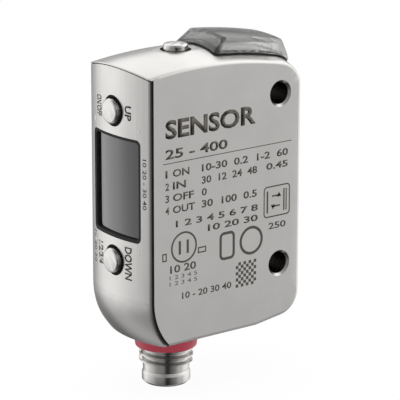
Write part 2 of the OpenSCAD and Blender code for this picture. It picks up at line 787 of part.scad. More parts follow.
// A plano-convex lens of radius r along X, with its flat side at x and its edge e thick
module lens(x, r, e, bulge, z) {
    q = (r * r + bulge * bulge) / (2 * bulge);
    intersection() {
        rod_x(x, x + e + bulge + 1, r, z);
        translate([x + e + bulge - q, 0, z]) sphere(q, $fn = 96);
    }
}
module receiver_lens() { color("lightcyan") lens(lens_seat_x, receiver_lens_r, 0.8, 0.9, -receiver_z); }
module laser_lens() { color("lightcyan") lens(lens_seat_x, laser_lens_r, 0.9, 0.5, laser_z); }
module laser_barrel() {
    color("goldenrod") difference() {
        rod_x(block_x + 1.4, lens_seat_x, laser_lens_r, laser_z);
        rod_x(block_x, lens_seat_x + 1, laser_lens_r - 0.5, laser_z);
    }
}
module laser_diode() {
    color("goldenrod") {
        rod_x(block_x + 0.2, block_x + 1.4, laser_lens_r, laser_z);
        rod_x(block_x + 1, block_x + 3, 1.35, laser_z);
        for (a = [0, 120, 240])
            rod_x(block_x - sensor_gap, block_x + 0.5, 0.2, laser_z + 0.8 * cos(a), 0.8 * sin(a));
    }
}
module sensor_board() {
    color("green") span([sensor_x, -inner_w + board_gap, -block_h / 2],
        [sensor_x + board_t, inner_w - board_gap, block_h / 2]);
}
module image_sensor() {
    color("darkslategray")
        span([sensor_x + board_t, -sensor_w / 2, -receiver_z - sensor_w / 2],
            [sensor_x + board_t + sensor_h, sensor_w / 2, sensor_w / 2 - receiver_z]);
}
module main_board() {
    color("green") span([-main_board_x, -inner_w + board_gap, main_bottom_z],
        [-main_board_x + board_t, inner_w - board_gap, main_top_z]);
}
module processor() {
    color("dimgray") plate_x(-main_board_x - processor_h, -main_board_x, processor_w, processor_w, 0.2, processor_z);
}
module display_link() {
    color("orange") {
        for (x = [display_board_x + board_t, -main_board_x - link_h])
            span([x, -3.2, display_link_z - link_h / 2], [x + link_h, 3.2, display_link_z + link_h / 2]);
        span([display_board_x + board_t + 1, -2.8, display_link_z - film_t / 2],
            [-main_board_x - 1, 2.8, display_link_z + film_t / 2]);
    }
}
module sensor_link() {
    color("dimgray") span([-main_board_x + board_t, -3.5, sensor_link_z - sensor_link_h / 2],
        [sensor_x, 3.5, sensor_link_z + sensor_link_h / 2]);
}
module indicator_link() {
    color("dimgray")
        span([-main_board_x + board_t, -3, main_top_z - 1.8], [-main_board_x + board_t + 1.6, 3, indicator_z - board_t]);
}

module connector_shell() {
    color("lightgray") translate([-conn_x, 0, 0]) difference() {
        rotate_extrude() polygon(concat(
            [[0, conn_top_z], [neck_r - 0.3, conn_top_z], [neck_r, conn_top_z - 0.3], [neck_r, seal_z], [thread_r, seal_z]],
            [for (k = [1:2]) let (z = seal_z - (k - 0.4) * thread_pitch)
                each [[thread_r, z + thread_pitch / 2 - 0.1], [thread_r - thread_depth, z + 0.05],
                    [thread_r - thread_depth, z - 0.05], [thread_r, z - thread_pitch / 2 + 0.1]]],
            [[thread_r, groove_z], [groove_r, groove_z], [groove_r, collar_z + 0.15],
                [groove_r - 0.15, collar_z + 0.15], [groove_r - 0.15, collar_z], [collar_r - 0.25, collar_z],
                [collar_r, collar_z - 0.5], [collar_r, collar_z - collar_h + 0.4],
                [collar_r - 0.4, collar_z - collar_h], [0, collar_z - collar_h]]));
        translate([0, 0, collar_z - collar_h - 1]) cylinder(h = insert_step_z - collar_z + collar_h + 1, r = cup_r + slip);
        translate([0, 0, -bottom_z]) cylinder(h = conn_top_z + bottom_z + 1, r = insert_r + slip);
    }
}
module connector_insert() {
    color("black") translate([-conn_x, 0, 0]) difference() {
        union() {
            translate([0, 0, insert_z]) cylinder(h = insert_step_z - insert_z, r = cup_r);
            translate([0, 0, insert_step_z - 1]) cylinder(h = conn_top_z - insert_step_z + 1.3, r = insert_r);
        }
        for (k = [0:3]) rotate([0, 0, 45 + 90 * k]) translate([pin_circle, 0, insert_z - 1])
            cylinder(h = conn_top_z - insert_z + 3, r = pin_r + slip, $fn = 32);
    }
}
module connector_nut() {
    color("gainsboro") translate([-conn_x, 0, wall - bottom_z]) difference() {
        cylinder(h = nut_h, r = nut_r, $fn = 6);
        translate([0, 0, -1]) cylinder(h = nut_h + 2, r = neck_r + slip);
    }
}
module connector_seal() {
    color("red") translate([-conn_x, 0, 0]) difference() {
        rotate_extrude() polygon([[0, -bottom_z], [seal_r, -bottom_z], [seal_r - seal_taper / 3, -bottom_z - 0.8],
            [seal_r - seal_taper, seal_z], [0, seal_z]]);
        translate([0, 0, seal_z - 1]) cylinder(h = seal_h + 2, r = neck_r + slip);
    }
}
module contact_pin(k) {
    color("gold") translate([-conn_x, 0, 0]) rotate([0, 0, 45 + 90 * k]) translate([pin_circle, 0, 0])
        rotate_extrude($fn = 32) polygon([[0, pin_top_z], [pin_r, pin_top_z], [pin_r, pin_end_z + 0.4],
            [pin_r - 0.1, pin_end_z + 0.12], [pin_r - 0.3, pin_end_z], [0, pin_end_z]]);
}

housing();
rear_cover();
cover_gasket();
display_window();
window_frame();
up_button();
down_button();
set_button();
up_button_clip();
down_button_clip();
set_button_clip();
up_button_seal();
down_button_seal();
set_button_seal();
up_switch();
down_switch();
set_switch();
indicator_cap();
indicator_gasket();
light_guide();
indicator_leds();
indicator_board();
front_window();
front_window_gasket();
optical_block();
laser_lens();
laser_barrel();
laser_diode();
receiver_lens();
image_sensor();
sensor_board();
main_board();
processor();
display_link();
sensor_link();
indicator_link();
display_board();
display_module();
connector_shell();
connector_insert();
connector_nut();
contact_pin(1);  // contact_pin_1
contact_pin(2);  // contact_pin_2
contact_pin(3);  // contact_pin_3
contact_pin(4);  // contact_pin_4
connector_seal();
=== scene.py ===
# %% [markdown]
# # A laser sensor in a crowned steel case
# The CAD model is the frame of this lesson: every solid comes in at its true place and size, in metres.
# X is the way the laser looks, Z is up, and the origin is midway between the two mounting holes.
# This first cell loads the frame and keeps its box.

# %% Load the frame
import math

import bpy
from mathutils import Matrix, Vector


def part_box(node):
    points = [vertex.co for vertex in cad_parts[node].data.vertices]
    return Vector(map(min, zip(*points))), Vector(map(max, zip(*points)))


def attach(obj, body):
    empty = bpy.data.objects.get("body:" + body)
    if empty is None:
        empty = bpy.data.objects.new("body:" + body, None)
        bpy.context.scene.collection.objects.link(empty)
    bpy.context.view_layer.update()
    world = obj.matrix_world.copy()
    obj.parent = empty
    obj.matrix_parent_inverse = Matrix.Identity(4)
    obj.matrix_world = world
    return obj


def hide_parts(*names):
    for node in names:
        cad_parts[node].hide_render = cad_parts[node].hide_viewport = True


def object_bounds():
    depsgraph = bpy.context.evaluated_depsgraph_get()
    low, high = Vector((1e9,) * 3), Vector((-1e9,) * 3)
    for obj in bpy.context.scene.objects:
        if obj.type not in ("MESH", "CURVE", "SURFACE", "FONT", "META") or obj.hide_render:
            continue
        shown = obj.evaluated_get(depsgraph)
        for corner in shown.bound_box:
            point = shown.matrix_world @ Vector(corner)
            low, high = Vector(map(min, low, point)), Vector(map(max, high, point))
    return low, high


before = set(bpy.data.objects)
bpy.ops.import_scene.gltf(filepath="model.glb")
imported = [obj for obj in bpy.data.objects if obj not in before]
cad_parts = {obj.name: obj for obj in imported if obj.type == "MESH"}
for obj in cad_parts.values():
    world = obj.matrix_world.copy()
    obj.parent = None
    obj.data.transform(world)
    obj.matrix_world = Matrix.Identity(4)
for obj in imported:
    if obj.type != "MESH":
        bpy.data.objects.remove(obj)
cad_low, cad_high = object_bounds()
mm = 0.001
print("nodes", len(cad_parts), "box in mm", [round(v / mm, 1) for v in cad_high - cad_low])

# %% [markdown]
# ## The camera
# The photograph was taken with a long lens, from behind, from the left and from a little above.
# A camera could be placed by eye and nudged. Here it was worked out from the two mounting holes, the
# case's edges and the connector, so it is written as an aim point, two angles and a distance.

# %% Make the camera
azimuth, elevation, roll = math.radians(-37.538), math.radians(15.737), math.radians(0.094)
DISTANCE = 362.473 * mm
aim = Vector((-9.068, -0.1, -3.211)) * mm
flat = math.cos(elevation)
back = Vector((math.sin(azimuth) * flat, -math.cos(azimuth) * flat, math.sin(elevation)))
bpy.ops.object.camera_add(location=aim + back * DISTANCE)
camera = bpy.context.object
look = (-back).to_track_quat("-Z", "Y")
camera.rotation_mode = "QUATERNION"
camera.rotation_quaternion = look @ Matrix.Rotation(roll, 3, "Z").to_quaternion()
camera.data.lens = 225
camera.data.sensor_width = 36
camera.data.clip_start, camera.data.clip_end = 0.01, 20
bpy.context.scene.camera = camera
print("camera at", [round(v, 4) for v in camera.location])

# %% [markdown]
# ## Shader maths in plain Python
# A material is a graph of nodes, and wiring it by hand takes many lines. One way round is to paint an
# image, but that blurs up close. So a small class wraps one socket and lets ordinary Python signs add
# Math nodes, and a formula for a finish then reads as a formula.

# %% Wrap one socket


class Wire:
    """One output socket of a graph, which can be used in sums."""

    def __init__(self, graph, socket):
        self.graph, self.socket = graph, socket

    def _math(self, operation, *values):
        return self.graph.node("ShaderNodeMath", {"operation": operation}, dict(enumerate(values)))

    def __add__(self, other):
        return self._math("ADD", self, other)

    __radd__ = __add__

    def __mul__(self, other):
        return self._math("MULTIPLY", self, other)

    __rmul__ = __mul__

    def __sub__(self, other):
        return self._math("SUBTRACT", self, other)

    def __rsub__(self, other):
        return self._math("SUBTRACT", other, self)

    def __truediv__(self, other):
        return self._math("DIVIDE", self, other)

    def __rtruediv__(self, other):
        return self._math("DIVIDE", other, self)

    def __gt__(self, other):
        return self._math("GREATER_THAN", self, other)

    def __lt__(self, other):
        return self._math("LESS_THAN", self, other)

    def sine(self):
        return self._math("SINE", self)

    def root(self):
        return self._math("SQRT", self)

    def absolute(self):
        return self._math("ABSOLUTE", self)

    def angle(self, other):
        return self._math("ARCTAN2", self, other)

    def biggest(self, other):
        return self._math("MAXIMUM", self, other)


print("sums on sockets ready")

# %% [markdown]
# ## One graph
# The world, the floor and each material are a graph each. Every node needs the same three steps: add it,
# change its settings, fill its inputs. One method does them for all types, and a few short ones give the
# nodes that come back again and again a plain name.

# %% Hold one graph


class Graph:
    """A node tree, built up in words."""

    def __init__(self, tree):
        self.tree = tree

    def put(self, socket, value):
        if isinstance(value, Wire):
            self.tree.links.new(value.socket, socket)
        elif isinstance(value, tuple) and len(value) == 3 and socket.type == "RGBA":
            socket.default_value = (*value, 1)
        else:
            socket.default_value = value

    def node(self, kind, settings=None, inputs=None, output=0):
        """Adds a node and gives the output that is asked for, or nothing for output=None."""
        made = self.tree.nodes.new(kind)
        for key, value in (settings or {}).items():
            if key == "stops":
                ends = made.color_ramp.elements
                for element, (place, colour) in ((ends[0], value[0]), (ends[1], value[-1])):
                    element.position, element.color = place, (*colour, 1)
                for place, colour in value[1:-1]:
                    ends.new(place).color = (*colour, 1)
            else:
                setattr(made, key, value)
        for key, value in (inputs or {}).items():
            self.put(made.inputs[key], value)
        return None if output is None else Wire(self, made.outputs[output])

    def parts(self, vector):
        first = self.node("ShaderNodeSeparateXYZ", None, {0: vector})
        return [Wire(self, socket) for socket in first.socket.node.outputs]

    def blend(self, share, first, second):
        """Goes from one colour to another as the share goes from 0 to 1."""
        return self.node("ShaderNodeMix", {"data_type": "RGBA"}, {0: share, 6: first, 7: second}, output=2)

    def glide(self, value, start, end, first=0.0, second=1.0):
        """Goes smoothly from first to second as the value goes from start to end."""
        return self.node("ShaderNodeMapRange", {"interpolation_type": "SMOOTHSTEP"}, {
            0: value, 1: start, 2: end, 3: first, 4: second})

    def seen(self):
        """1 for a ray that the camera sends, straight or through glass, and 0 for any other."""
        straight = self.node("ShaderNodeLightPath", output="Is Camera Ray")
        through = self.node("ShaderNodeLightPath", output="Is Transmission Ray")
        return straight.biggest(through)


print("graphs ready")

# %% [markdown]
# ## The studio
# Polished metal shows the room more than it shows itself. In the photograph the panel at the rear is
# bright in the middle and darker at both sides, the side face is an even grey and the connector is a
# dark stripe between two bright ones. Working back from each surface to the direction that it mirrors
# gives the room: dark behind the camera, a bright wall on each side of it, and a backdrop that is grey
# low down and bright higher up. Moving lamps about by eye could give the same, but a ramp of brightness
# around the room is exact. The camera itself sees plain white, straight and through glass.

# %% Make the world
scene = bpy.context.scene
scene.view_settings.view_transform = "Standard"
world = bpy.data.worlds.new("studio")
scene.world = world
world.use_nodes = True
world.node_tree.nodes.clear()
room = Graph(world.node_tree)
# Degrees round the room, 0 behind the camera and positive towards the right of the picture
LOW_WALL = ((-180, 0.45), (-155, 0.38), (-144, 0.4), (-134, 0.75), (-125, 1.35), (-104, 1.45),
            (-92, 1.15), (-76, 0.9), (-62, 0.72), (-46, 0.4), (-25, 0.34), (-10, 0.3), (1, 0.03),
            (14, 0.04), (28, 0.18), (50, 0.35), (66, 0.78), (84, 0.8), (96, 1.35), (120, 1.5),
            (146, 1.1), (162, 0.55), (180, 0.45))
HIGH_WALL = ((-180, 1.5), (-120, 1.5), (-60, 0.7), (0, 0.3), (60, 0.8), (100, 1.65), (145, 1.8),
             (180, 1.5))
# A colour ramp ends at 1, so the shades are divided by the brightest of them and multiplied again
TOP = 1.8


def wall(turn, stops):
    shades = [((a + 180) / 360, (v / TOP, v / TOP, v / TOP)) for a, v in stops]
    return room.node("ShaderNodeValToRGB", {"stops": shades}, {0: turn})


across, away, up = room.parts(room.node("ShaderNodeTexCoord", output="Generated"))
behind = across * back.x + away * back.y
right = across * -back.y + away * back.x
turn = right.angle(behind) / (2 * math.pi) + 0.5
# Up is the sine of the height over the horizon
shade = room.blend(room.glide(up, 0.17, 0.4), wall(turn, LOW_WALL), wall(turn, HIGH_WALL))
# The room gets darker right overhead and towards the ground
ceiling = room.glide(up, 0.75, 0.95, 1.0, 0.4)
ground = room.glide(up, -0.26, -0.6, 1.0, 0.42)
walls = room.node("ShaderNodeBackground", None, {0: shade, 1: ceiling * ground * TOP})
white = room.node("ShaderNodeBackground", None, {0: (1, 1, 1), 1: 1.0})
final = room.node("ShaderNodeMixShader", None, {0: room.seen(), 1: walls, 2: white})
room.node("ShaderNodeOutputWorld", None, {"Surface": final}, output=None)
print("room's walls have", len(LOW_WALL), "and", len(HIGH_WALL), "shades")

# %% [markdown]
# ## Two lamps
# The room alone would leave hardly any shadow. A large lamp above gives the soft one on the floor, and a
# weak one faces the near side and lights its plastic and rubber. Spots would give hard edges. Metal
# doesn't mirror the lamps, or each would show in it as a bright square.

# %% Make the lamps


def soft_box(name, place, target, size, power):
    bpy.ops.object.light_add(type="AREA", location=place)
    lamp = bpy.context.object
    lamp.name = name
    lamp.data.shape = "RECTANGLE"
    lamp.data.size, lamp.data.size_y = size
    lamp.data.energy = power
    lamp.visible_glossy = False
    lamp.rotation_euler = (Vector(target) - Vector(place)).to_track_quat("-Z", "Y").to_euler()
    print(name, "at", place)


middle = (-0.01, 0, 0)
soft_box("top_box", (-0.05, -0.02, 0.42), middle, (0.35, 0.3), 0.8)
soft_box("side_box", (-0.1, -0.5, 0.12), middle, (0.4, 0.4), 0.3)

# %% [markdown]
# ## The floor
# The photograph has no visible ground. Without any floor the sensor would float, and a plain white one
# would look grey and uneven in this room. A pale plane just under the connector keeps a faint shadow,
# and to the camera it is mostly white light of its own, nearly as white as the backdrop. Metal doesn't
# mirror it, but the room, which goes on below the horizon.

# %% Make the floor
FLOOR_GAP = 0.02 * mm
WHITE_SHARE = 0.95
bpy.ops.mesh.primitive_plane_add(size=4, location=(0, 0, cad_low.z - FLOOR_GAP))
floor = bpy.context.object
floor.name = "floor"
floor.visible_glossy = False
floor_paint = bpy.data.materials.new("floor_paint")
floor_paint.use_nodes = True
surface = Graph(floor_paint.node_tree)
surface.tree.nodes.clear()
matt = surface.node("ShaderNodeBsdfDiffuse", None, {"Color": (0.9, 0.9, 0.9)})
glow = surface.node("ShaderNodeEmission", None, {"Strength": 1})
mixed = surface.node("ShaderNodeMixShader", None, {0: surface.seen() * WHITE_SHARE, 1: matt, 2: glow})
surface.node("ShaderNodeOutputMaterial", None, {"Surface": mixed}, output=None)
floor.data.materials.append(floor_paint)
print("floor at", round(floor.location.z / mm, 2), "mm")

# %% [markdown]
# ## One material
# Each finish of the sensor is a graph with a Principled shader. Its patterns are measured in
# millimetres on the object itself, so that a grain has the same size on every piece. Coordinates made
# from each piece's own box would be easier, but they stretch with the piece.

# %% Hold one material


class Paint(Graph):
    """A material with a Principled shader."""

    def __init__(self, name, **fixed):
        self.material = bpy.data.materials.new(name)
        self.material.use_nodes = True
        super().__init__(self.material.node_tree)
        self.shader = self.tree.nodes["Principled BSDF"]
        for socket, value in fixed.items():
            self.set(socket.replace("_", " "), value)

    def set(self, name, value):
        self.put(self.shader.inputs[name], value)

    def place(self, centre=(0, 0, 0)):
        """Object coordinates in millimetres, from a centre given in millimetres."""
        spot = self.node("ShaderNodeTexCoord", output="Object")
        return self.node("ShaderNodeMapping", {"vector_type": "POINT"}, {
            "Vector": spot, "Location": tuple(-c for c in centre), "Scale": (1 / mm, 1 / mm, 1 / mm)})

    def noise(self, vector, size, detail=3):
        """Cloudy values around 0.5, with clouds of a given size in millimetres."""
        return self.node("ShaderNodeTexNoise", None, {
            "Vector": vector, "Scale": 1 / size, "Detail": detail, "Roughness": 0.55})

    def bump(self, height, depth):
        """Depth is in metres: what a height of 1 rises over the surface."""
        self.set("Normal", self.node("ShaderNodeBump", None, {"Height": height, "Distance": depth}))


print("materials ready")

# %% [markdown]
# ## The case's steel
# The case and its rear cover are cast stainless steel, blasted with fine beads and lightly polished.
# Up close that is a fine grain a tenth of a millimetre across, with faint cloudy stains from handling.
# One noise could do for all, but it would look like one pattern. Three sizes of it look like three
# causes: the finest as bump, the middle one as roughness and the largest as a slight change of colour.
# The walls of the mounting holes are painted darker, a painted shade for the dark inside of the bores.
# Clips, brass and plated pins inside take the same recipe in colours of their own.

# %% Blasted steel
STEEL = (0.60, 0.59, 0.575)
HOLE_RADIUS, HOLE_HEIGHT = 1.6, 12.7
# Painted shade: the colour of the mounting holes' walls, darker than the steel
BORE_SHADE = (0.26, 0.25, 0.24)


def bore_shade_mask(paint, radius, height):
    """1 on the wall of a bore along Y at a height above and below the origin, and 0 elsewhere."""
    x, y, z = paint.parts(paint.place())
    level = z.absolute() - height
    return x * x + level * level < radius * radius


def shades_of(colour, darker, lighter):
    return tuple(darker * c for c in colour), tuple(min(1, lighter * c) for c in colour)


def blasted_steel(name, colour, roughness, bore=None):
    paint = Paint(name, Metallic=1.0)
    spot = paint.place()
    grain = paint.noise(spot, 0.12, detail=2)
    patches = paint.noise(spot, 1.4, detail=3)
    clouds = paint.noise(spot, 7.0, detail=2)
    shade = paint.blend(clouds * 0.7 + patches * 0.3, *shades_of(colour, 0.85, 1.06))
    if bore:
        # Painted shade on the walls of the mounting holes
        shade = paint.blend(bore_shade_mask(paint, *bore), shade, BORE_SHADE)
    paint.set("Base Color", shade)
    paint.set("Roughness", roughness + (patches - 0.5) * 0.08 + (grain - 0.5) * 0.06)
    paint.bump(grain, 0.003 * mm)
    return paint.material


case_steel = blasted_steel("case_steel", STEEL, 0.25, bore=(HOLE_RADIUS + 0.03, HOLE_HEIGHT))
spring_steel = blasted_steel("spring_steel", (0.45, 0.45, 0.45), 0.3)
brass = blasted_steel("brass", (0.62, 0.42, 0.16), 0.3)
gold_plate = blasted_steel("gold_plate", (0.8, 0.55, 0.2), 0.2)
print(case_steel.name, spring_steel.name, brass.name, gold_plate.name)

# %% [markdown]
# ## Turned steel
# The button heads and the connector are turned on a lathe, so their faces carry fine rings about the
# axis of turning. A stretched noise would streak them all one way. The distance from the axis, run
# through a sine, gives true rings wherever the axis is.

# %% Turned steel


def turned_steel(name, centre, axis, roughness=0.18, pitch=0.09):
    paint = Paint(name, Metallic=1.0)
    spot = paint.place(centre)
    parts = paint.parts(spot)
    first, second = [p for k, p in enumerate(parts) if k != axis]
    radius = (first * first + second * second).root()
    wobble = paint.noise(spot, 0.6, detail=2)
    rings = ((radius + parts[axis] + wobble * 0.05) * (2 * math.pi / pitch)).sine() * 0.5 + 0.5
    patches = paint.noise(spot, 0.9, detail=3)
    paint.set("Base Color", paint.blend(patches, *shades_of(STEEL, 0.85, 1.1)))
    paint.set("Roughness", roughness + (patches - 0.5) * 0.15)
    paint.bump(rings, 0.001 * mm)
    return paint.material


# The rear buttons were turned about X, which is axis 0, and the others about Z, which is axis 2
up_steel = turned_steel("up_button_turned_steel", (-25, 0, 12.4), 0)
down_steel = turned_steel("down_button_turned_steel", (-25, 0, -9.4), 0)
set_steel = turned_steel("set_button_turned_steel", (-13.4, 0, 20), 2)
connector_steel = turned_steel("connector_turned_steel", (-15.2, 0, -25), 2, 0.2, 0.12)
print(up_steel.name, down_steel.name, set_steel.name, connector_steel.name)

# %% [markdown]
# ## Rubber and moulded plastic
# Gaskets and rings are matt rubber, the inner frames are black plastic with a fine spark-eroded grain.
# Each could have a recipe of its own, but they differ only in numbers. So one function makes them all:
# a base colour, a grain size and a little dust that lightens the high spots.

# %% Moulded finishes
# How far the dust takes a colour towards a middle grey
DUST = 0.075


def moulded(name, colour, roughness, grain_size=0.15, depth=0.004, **fixed):
    paint = Paint(name, **fixed)
    spot = paint.place()
    grain = paint.noise(spot, grain_size, detail=3)
    patches = paint.noise(spot, grain_size * 12, detail=2)
    dusty = tuple(c + (0.5 - c) * DUST for c in colour)
    paint.set("Base Color", paint.blend(grain * patches, colour, dusty))
    paint.set("Roughness", roughness + (grain - 0.5) * 0.2)
    paint.bump(grain, depth * mm)
    return paint.material


black_rubber = moulded("black_rubber", (0.008, 0.008, 0.008), 0.85, Specular_IOR_Level=0.2)
red_rubber = moulded("red_rubber", (0.46, 0.028, 0.06), 0.38, 0.2)
frame_plastic = moulded("frame_plastic", (0.012, 0.012, 0.012), 0.7, 0.1, Specular_IOR_Level=0.25)
black_plastic = moulded("black_plastic", (0.025, 0.025, 0.027), 0.5, 0.1)
led_plastic = moulded("led_plastic", (0.45, 0.65, 0.3), 0.2, 0.3, 0.001)
clear_plastic = moulded("clear_plastic", (0.8, 0.8, 0.78), 0.35, 0.2, 0.002)
flex_film = moulded("flex_film", (0.5, 0.25, 0.05), 0.35, 0.5, 0.001)
print("moulded finishes ready")

# %% [markdown]
# ## Dark glass
# The display glass is smoked and crowned like the panel, so it mirrors the room in a soft gradient. It
# could be clear glass with a deep tint, but so little light would come back out of it that a nearly
# black body with a glossy face looks the same, with less noise. The coat on it stands for the second
# surface of the glass, which mirrors the room once more.

# %% Dark glass
smoked = Paint("smoked_glass", IOR=1.5, Coat_Weight=1.0, Coat_IOR=1.5, Coat_Roughness=0.05)
spot = smoked.place()
clouds = smoked.noise(spot, 3.0)
smoked.set("Base Color", smoked.blend(clouds, (0.004, 0.004, 0.0045), (0.007, 0.007, 0.0075)))
smoked.set("Roughness", 0.07 + smoked.noise(spot, 1.5) * 0.03)
smoked_glass = smoked.material
print(smoked_glass.name)

# %% [markdown]
# ## Clear glass
# The front window and the two lenses behind it are clear. A plain transparent finish would show what
# lies behind them, but it wouldn't bend the light as a lens does. So the light is refracted, with a
# trace of green and faint clouds in the tint.

# %% Clear glass
clear = Paint("clear_glass", Roughness=0.03, IOR=1.5, Transmission_Weight=0.9)
clouds = clear.noise(clear.place(), 2.0)
clear.set("Base Color", clear.blend(clouds, (0.82, 0.86, 0.86), (0.9, 0.93, 0.93)))
clear_glass = clear.material
print(clear_glass.name)

# %% [markdown]
# ## The tinted cap
# The cap on the roof is moulded from a grey translucent plastic, over the light guide. In the photograph
# it is pale at its sides and dark at its crown. Absorption inside the plastic could give that, but it is
# slow and noisy. Here the crown's darkness is a painted shade: the colour depends on the way that the
# surface faces, and the more it faces up, the darker. At the sides a part of the light also goes straight
# through, unbent, which makes them paler.

# %% Tinted cap
# How light the painted shade is, by how far the surface faces up: 0 is a wall and 1 is level
TOP_SHADES = ((0.0, 0.96), (0.4, 0.9), (0.65, 0.38), (0.8, 0.15), (0.96, 0.04), (1.0, 0.03))
# At the sides this share of the light meets the plastic, and the rest goes straight through
SIDE_SHARE = 0.7
tinted = Paint("smoked_plastic", Roughness=0.08, IOR=1.49, Transmission_Weight=0.92,
               Specular_IOR_Level=0.05)
# A ray that meets the surface from inside sees its normal reversed, so that is turned back
inside = tinted.node("ShaderNodeNewGeometry", output="Backfacing")
outward = tinted.parts(tinted.node("ShaderNodeNewGeometry", output="Normal"))[2] * (1 - inside * 2)
shades = [(place, (v, v, 0.985 * v)) for place, v in TOP_SHADES]
# Painted shade: the plastic's grey gets darker the more the surface faces up
top_shade = tinted.node("ShaderNodeValToRGB", {"stops": shades}, {0: outward})
clouds = tinted.noise(tinted.place(), 2.5)
tinted.set("Base Color", tinted.blend(clouds * 0.12, top_shade, (0.5, 0.5, 0.49)))
tinted.set("Alpha", tinted.glide(outward, 0.3, 0.75, SIDE_SHARE, 1.0))
smoked_plastic = tinted.material
print(smoked_plastic.name)

# %% [markdown]
# ## Circuit boards
# A board shows green solder mask over copper tracks. A Brick texture could draw the tracks, but they
# would all run straight. Here they are the crests of two sines, one along Y and one along Z, which a
# slow noise bends. Where the tracks lie the mask is lighter and stands up a little.

# %% Circuit board
board = Paint("board_green")
spot = board.place()
y, z = board.parts(spot)[1:]
rows = (y * 6.0 + board.noise(spot, 3.0) * 6.0).sine() > 0.75
columns = (z * 5.0 + board.noise(spot, 4.0) * 8.0).sine() > 0.8
tracks = rows.biggest(columns)
board.set("Base Color", board.blend(tracks, (0.012, 0.085, 0.035), (0.03, 0.17, 0.07)))
board.set("Roughness", 0.35 + board.noise(spot, 0.4) * 0.1)
board.bump(tracks, 0.02 * mm)
board_green = board.material
print(board_green.name)

# %% [markdown]
# ## Dress the CAD nodes
# The solids of the CAD model carry the shapes, so most of them stay as they are and only get a finish.
# Their meshes are loose triangles, which would show as facets on the crowned faces. The meshes could be
# rebuilt, but modifiers leave them untouched: Weld joins the triangles, Edge Split keeps the real edges
# sharp, and Weighted Normal lets the large flat faces stay flat beside their rounded edges.

# %% Put the finishes on the nodes
# Corners that lie closer than this are one corner
MERGE = 0.001 * mm
SHARP = math.radians(35)
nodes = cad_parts
# What isn't named here is black plastic
finishes = {name: finish for finish, names in (
    (case_steel, ("housing", "rear_cover")),
    (up_steel, ("up_button",)),
    (down_steel, ("down_button",)),
    (set_steel, ("set_button",)),
    (connector_steel, ("connector_shell",)),
    (spring_steel, ("up_button_clip", "down_button_clip", "set_button_clip", "connector_nut")),
    (black_rubber, ("cover_gasket", "indicator_gasket", "front_window_gasket", "up_button_seal",
                    "down_button_seal", "set_button_seal")),
    (red_rubber, ("connector_seal",)),
    (frame_plastic, ("window_frame",)),
    (smoked_plastic, ("indicator_cap",)),
    (clear_plastic, ("light_guide",)),
    (led_plastic, ("indicator_leds",)),
    (smoked_glass, ("display_window", "display_module")),
    (clear_glass, ("front_window", "laser_lens", "receiver_lens")),
    (brass, ("laser_barrel", "laser_diode")),
    (board_green, ("indicator_board", "sensor_board", "main_board", "display_board")),
    (flex_film, ("display_link",)),
    (gold_plate, ("contact_pin_1", "contact_pin_2", "contact_pin_3", "contact_pin_4")),
) for name in names}
for name, node in nodes.items():
    node.data.materials.clear()
    node.data.materials.append(finishes.get(name, black_plastic))
    node.data.polygons.foreach_set("use_smooth", [True] * len(node.data.polygons))
    weld = node.modifiers.new("weld", "WELD")
    weld.merge_threshold = MERGE
    split = node.modifiers.new("split", "EDGE_SPLIT")
    split.split_angle = SHARP
    node.modifiers.new("flat faces first", "WEIGHTED_NORMAL")
print("finished nodes", len(nodes), "of which by name", len(finishes))

# %% [markdown]
# ## The sunk glass
# In the photograph a dark wall shows at the far side of the display glass, so the glass lies deeper in
# its frame than the CAD plate does. The CAD plate could be pushed in, but its mesh must stay as it is.
# A copy has its loose triangles merged and its outer face moved inwards, and then stands for the plate.

# %% Sink the glass
SUNK = 0.2
# The corners this close to the inner face stay where they are
INNER_ZONE = 0.1
bpy.ops.object.select_all(action="DESELECT")
nodes["display_window"].select_set(True)
bpy.context.view_layer.objects.active = nodes["display_window"]
bpy.ops.object.duplicate()
glass = bpy.context.object
glass.name = glass.data.name = "sunk_glass"
plate_low, plate_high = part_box("display_window")
bpy.ops.object.mode_set(mode="EDIT")
bpy.ops.mesh.select_all(action="SELECT")
bpy.ops.mesh.remove_doubles(threshold=MERGE)
bpy.ops.mesh.select_all(action="DESELECT")
bpy.ops.object.mode_set(mode="OBJECT")
for vertex in glass.data.vertices:
    vertex.select = vertex.co.x < plate_high.x - INNER_ZONE * mm
bpy.ops.object.mode_set(mode="EDIT")
bpy.ops.mesh.select_mode(type="VERT")
bpy.ops.transform.translate(value=(SUNK * mm, 0, 0))
bpy.ops.object.mode_set(mode="OBJECT")
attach(glass, "body")
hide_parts("display_window")
print(glass.name, "is", round((glass.dimensions.x) / mm, 2), "mm deep, where the plate was",
      round((plate_high.x - plate_low.x) / mm, 2))

# %% [markdown]
# ## The connector's body
# The CAD connector has plain rings where the real one has an M8 thread, because a helix belongs to the
# looks. So the connector is made again, in the CAD's measures. A Screw modifier could spin it from a
# profile that is drawn first. Here it is turned as on a lathe, which needs no drawing: a circle is
# extruded and scaled from ring to ring.

# %% Turn the connector
SIDES = 96
shell_low, shell_high = (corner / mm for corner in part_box("connector_shell"))
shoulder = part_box("connector_seal")[0].z / mm - 0.02
connector_x = (shell_low.x + shell_high.x) / 2
end, top = shell_low.z, shell_high.z
COLLAR, GROOVE, STEP = end + 2.0, end + 3.3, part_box("housing")[0].z / mm + 0.7
NECK, CREST, COLLAR_RADIUS, CUP, BORE = 3.4, 3.95, 3.55, 2.77, 2.32
# Radius and level in millimetres: down the outside, round the rim and up the inside
PROFILE = ((NECK - 0.3, top), (NECK, top - 0.3), (NECK, COLLAR + 0.15), (NECK - 0.15, COLLAR + 0.15),
           (NECK - 0.15, COLLAR), (COLLAR_RADIUS - 0.25, COLLAR), (COLLAR_RADIUS, COLLAR - 0.5),
           (COLLAR_RADIUS, end + 0.4), (COLLAR_RADIUS - 0.4, end), (CUP, end), (CUP, STEP),
           (BORE, STEP), (BORE, top), (NECK - 0.3, top))


def on_axis(level):
    return Vector((connector_x, 0, 0)) * mm + Vector((0, 0, level * mm))


